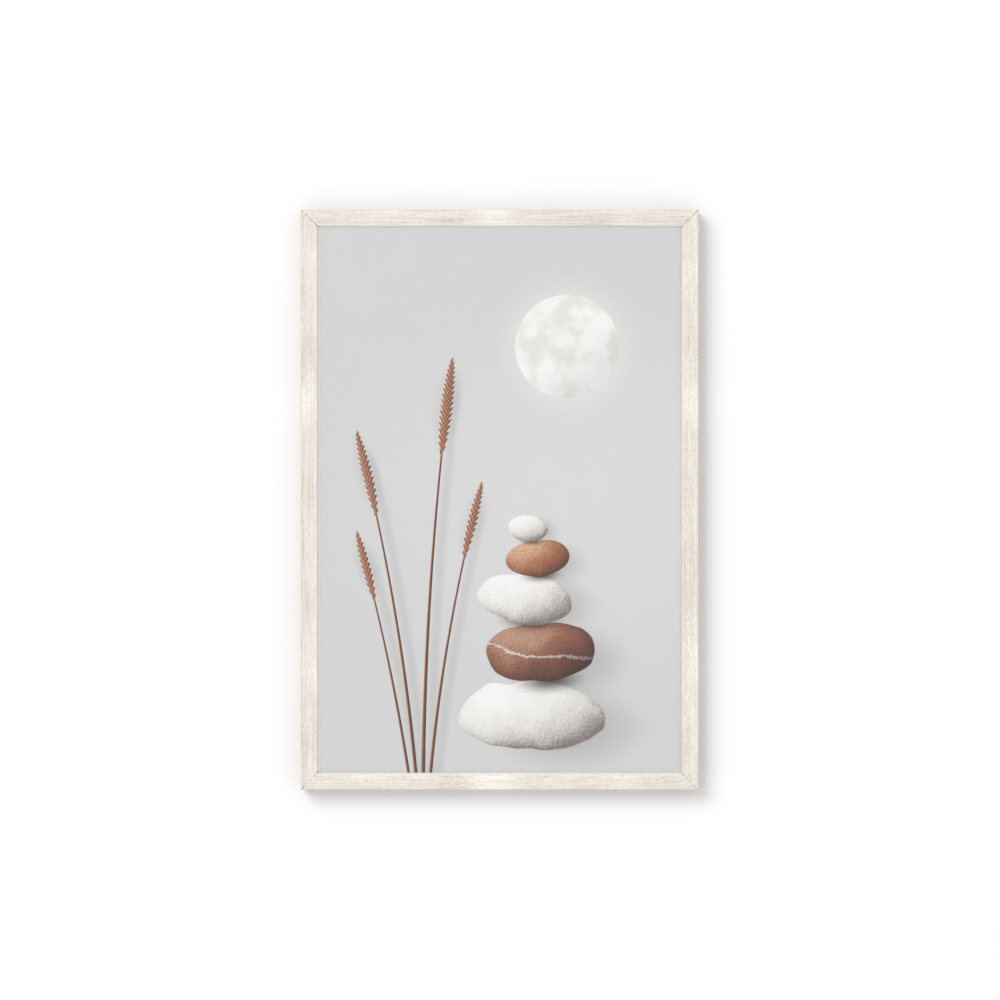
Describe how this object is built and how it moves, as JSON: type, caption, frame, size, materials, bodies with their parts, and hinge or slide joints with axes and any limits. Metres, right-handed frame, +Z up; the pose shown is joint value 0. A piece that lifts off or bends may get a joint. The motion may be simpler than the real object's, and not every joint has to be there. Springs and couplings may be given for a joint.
{
  "type": "framed wall print",
  "caption": "Portrait print behind clear glazing in a slim whitewashed wooden frame with mitred corners, hung by a sawtooth hanger.",
  "frame": {"origin": "where the middle notch of the sawtooth hanger meets the wall, in the plane that the hanger and the two bumpers rest against", "axes": "+X to the right seen from the front, +Z up, +Y into the wall; the print faces -Y"},
  "size_m": [0.436, 0.025, 0.636],
  "materials": {
    "limed_wood": "whitewashed, matt",
    "clear_acrylic": "clear acrylic, polished",
    "print_paper": "printed, matt",
    "hardboard": "pressed brown fibreboard, smooth side out",
    "zinc_steel": "zinc-plated",
    "bumper_rubber": "translucent off-white, satin"
  },
  "bodies": {
    "root": {"rail_top": "limed_wood", "rail_bottom": "limed_wood", "rail_left": "limed_wood", "rail_right": "limed_wood", "glazing": "clear_acrylic", "print": "print_paper", "backing_board": "hardboard", "point_top_1": "zinc_steel", "point_top_2": "zinc_steel", "point_top_3": "zinc_steel", "point_bottom_1": "zinc_steel", "point_bottom_2": "zinc_steel", "point_bottom_3": "zinc_steel", "point_left_1": "zinc_steel", "point_left_2": "zinc_steel", "point_left_3": "zinc_steel", "point_left_4": "zinc_steel", "point_right_1": "zinc_steel", "point_right_2": "zinc_steel", "point_right_3": "zinc_steel", "point_right_4": "zinc_steel", "v_nail_top_left_1": "zinc_steel", "v_nail_top_left_2": "zinc_steel", "v_nail_top_right_1": "zinc_steel", "v_nail_top_right_2": "zinc_steel", "v_nail_bottom_left_1": "zinc_steel", "v_nail_bottom_left_2": "zinc_steel", "v_nail_bottom_right_1": "zinc_steel", "v_nail_bottom_right_2": "zinc_steel", "sawtooth_hanger": "zinc_steel", "hanger_brad_1": "zinc_steel", "hanger_brad_2": "zinc_steel", "bumper_left": "bumper_rubber", "bumper_right": "bumper_rubber"}
  },
  "joints": []
}
